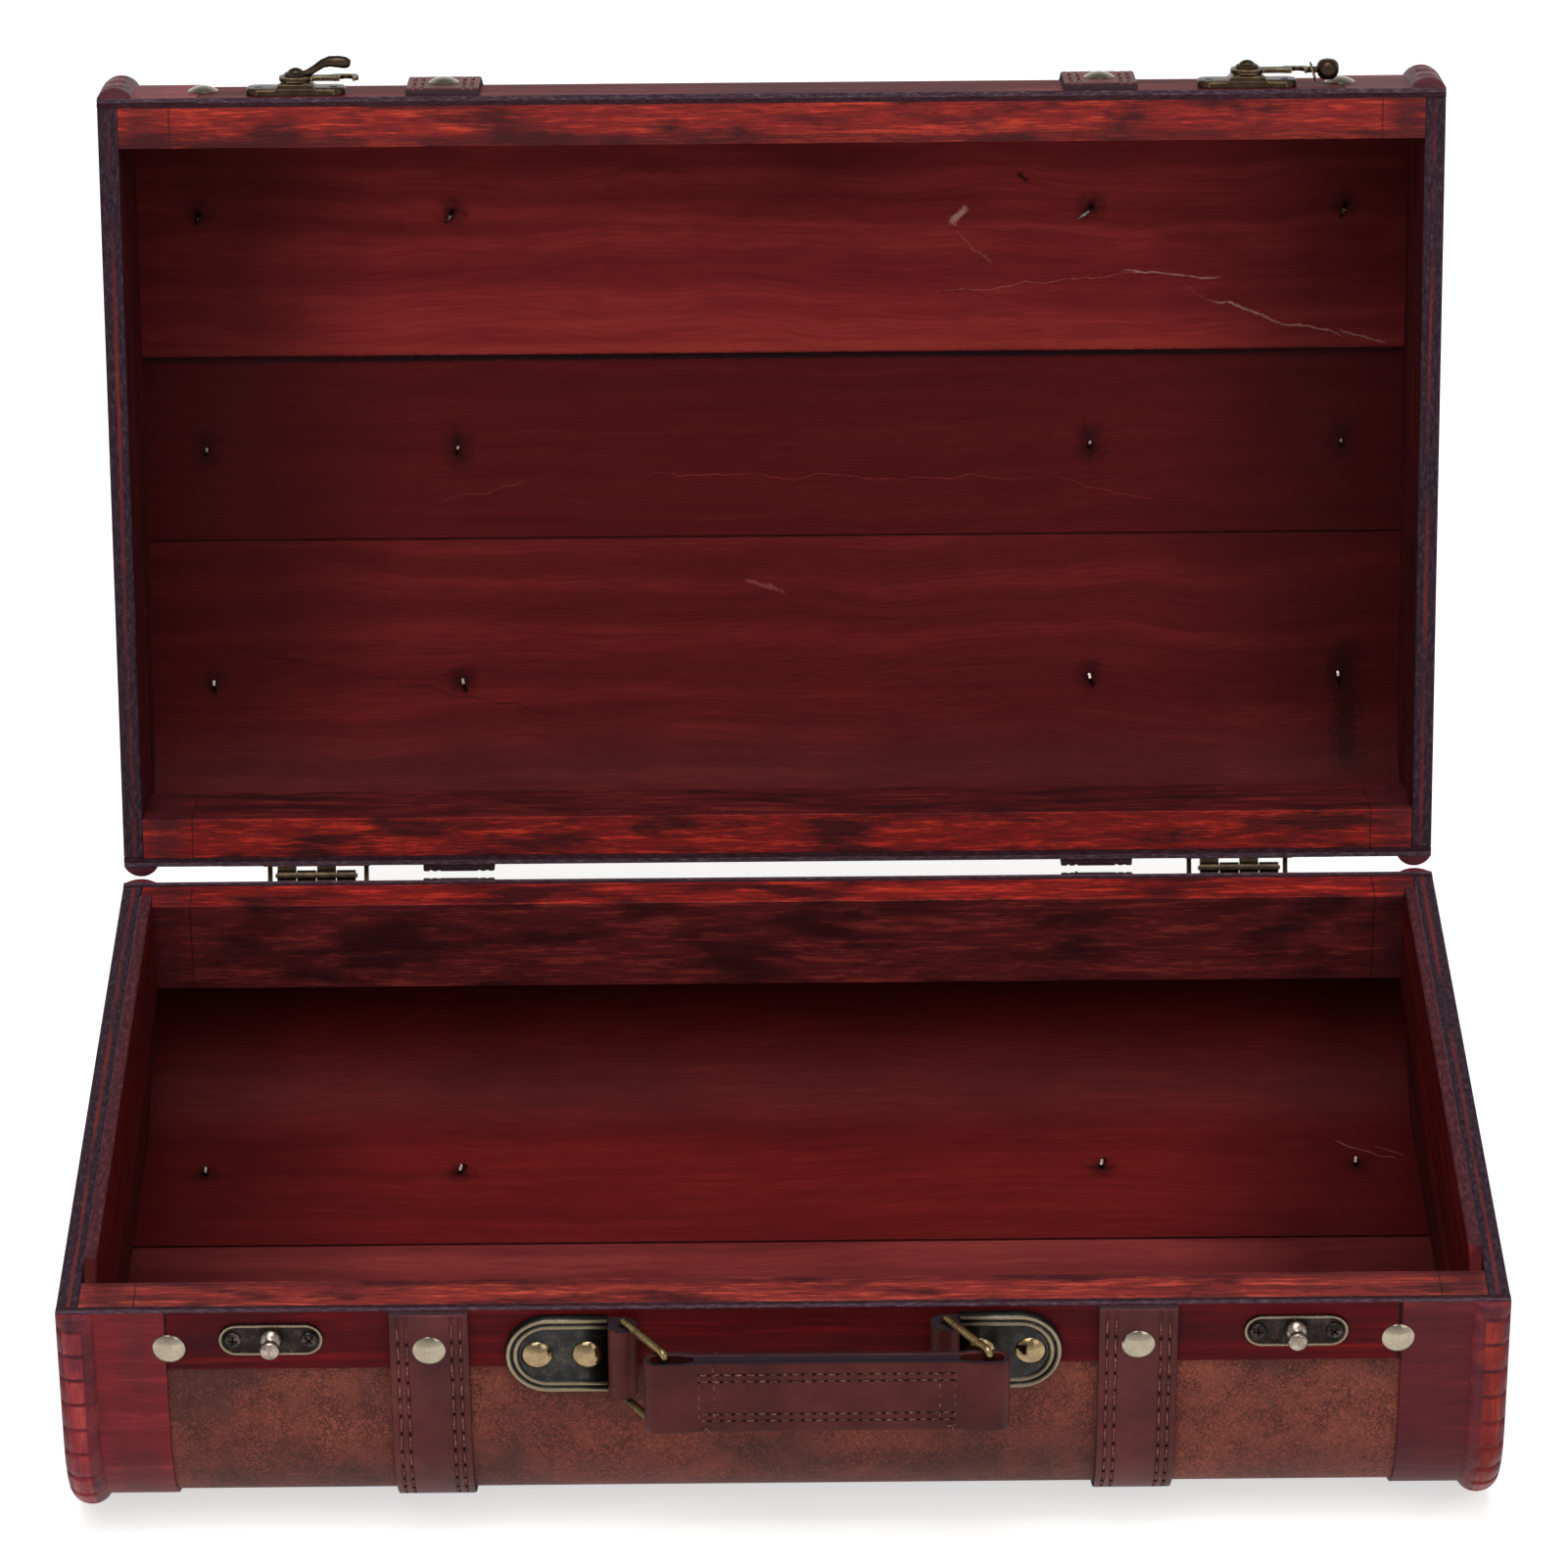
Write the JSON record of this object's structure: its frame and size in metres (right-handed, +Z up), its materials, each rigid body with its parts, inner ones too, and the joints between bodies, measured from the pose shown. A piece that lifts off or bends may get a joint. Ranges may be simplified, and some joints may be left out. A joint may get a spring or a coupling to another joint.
{
  "type": "keepsake case",
  "caption": "Small suitcase-style keepsake case of bent plywood with hinged lid, straps, end beads, swing-hook clasps and a carrying handle.",
  "frame": {"origin": "bottom centre of the bounding box with the lid standing open; the soles of the end beads are at z 0", "axes": "+X along the front to the right, +Y from the front to the hinges, +Z up"},
  "size_m": [0.33, 0.3046, 0.2677],
  "materials": {
    "panel_wood": "plywood end panels stained dark red, thin worn varnish",
    "rail_wood": "pine stained orange red, dark handling marks",
    "inside_ply": "thin plywood stained maroon, satin, scratched",
    "leatherette": "imitation leather, brown with fine dark crackle, semi-gloss",
    "red_trim": "thin veneer strip, red brown gloss varnish, worn edges",
    "red_bead": "notched half-round moulding, red gloss lacquer",
    "strap_leather": "smooth brown leather, pale saddle stitching along both edges",
    "tack_brass": "dull antique brass with dark patina in the recesses",
    "aged_brass": "antique brass, dark brown patina, rubbed bright on edges",
    "wire_steel": "bronzed steel wire, dulled"
  },
  "bodies": {
    "base": {"base_band_left": "red_trim", "base_band_right": "red_trim", "base_bead_left": "red_bead", "base_bead_right": "red_bead", "base_centre_strip": "inside_ply", "base_cover": "leatherette", "base_liner_left": "inside_ply", "base_liner_right": "inside_ply", "base_panel_left": "panel_wood", "base_panel_right": "panel_wood", "base_rail_back": "rail_wood", "base_rail_front": "rail_wood", "base_rim_strip_back": "red_trim", "base_rim_strip_front": "red_trim", "base_skin_back": "inside_ply", "base_skin_front": "inside_ply", "base_strap_left": "strap_leather", "base_strap_right": "strap_leather", "base_studs": "tack_brass", "keeper_plates": "aged_brass", "keeper_knobs": "aged_brass", "keeper_screws": "tack_brass", "handle_mount_left": "aged_brass", "handle_mount_right": "aged_brass", "handle_mount_rivets": "tack_brass", "handle_tab_left": "strap_leather", "handle_tab_right": "strap_leather", "hinge_base_leaves": "aged_brass", "hinge_pins": "wire_steel", "hinge_base_screws": "tack_brass"},
    "lid": {"lid_band_left": "red_trim", "lid_band_right": "red_trim", "lid_bead_left": "red_bead", "lid_bead_right": "red_bead", "lid_centre_strip": "inside_ply", "lid_cover": "leatherette", "lid_panel_left": "panel_wood", "lid_panel_right": "panel_wood", "lid_rail_back": "rail_wood", "lid_rail_front": "rail_wood", "lid_rim_strip_back": "red_trim", "lid_rim_strip_front": "red_trim", "lid_skin_back": "inside_ply", "lid_skin_front": "inside_ply", "lid_strap_left": "strap_leather", "lid_strap_right": "strap_leather", "lid_studs": "tack_brass", "clasp_plates": "aged_brass", "clasp_rivets": "tack_brass", "hinge_lid_leaves": "aged_brass", "hinge_stays": "aged_brass", "hinge_lid_screws": "tack_brass"},
    "hook_left": {"hook_left": "aged_brass"},
    "hook_right": {"hook_right": "aged_brass", "hook_wire_ring": "wire_steel"},
    "ring_left": {"handle_ring_left": "wire_steel"},
    "ring_right": {"handle_ring_right": "wire_steel"},
    "handle": {"handle_outer_leather": "strap_leather", "handle_inner_leather": "strap_leather"}
  },
  "joints": [
    {"name": "lid_hinge", "type": "hinge", "parent": "base", "child": "lid", "pos_m": [0, 0.0666, 0.06585], "axis": [1, 0, 0], "range_deg": [0, 103]},
    {"name": "hook_left_swing", "type": "hinge", "parent": "lid", "child": "hook_left", "pos_m": [-0.1165, 0.11615, 0.25823], "axis": [0, 0.225, 0.9744], "range_deg": [-90, 60]},
    {"name": "hook_right_swing", "type": "hinge", "parent": "lid", "child": "hook_right", "pos_m": [0.1165, 0.11615, 0.25823], "axis": [0, 0.225, 0.9744], "range_deg": [-90, 60]},
    {"name": "handle_ring_left_swing", "type": "hinge", "parent": "base", "child": "ring_left", "pos_m": [-0.0365, -0.1353, 0.05435], "axis": [0, 0, 1], "range_deg": [-100, 31]},
    {"name": "handle_ring_right_swing", "type": "hinge", "parent": "base", "child": "ring_right", "pos_m": [0.0365, -0.1353, 0.05435], "axis": [0, 0, 1], "range_deg": [-100, 31]},
    {"name": "handle_pivot", "type": "hinge", "parent": "ring_left", "child": "handle", "pos_m": [-0.0269, -0.14933, 0.05435], "axis": [0, 0, 1], "range_deg": [-31, 100]}
  ],
  "couplings": [
    {"joint": "handle_ring_right_swing", "follows": "handle_ring_left_swing", "ratio": 1},
    {"joint": "handle_pivot", "follows": "handle_ring_left_swing", "ratio": -1}
  ]
}
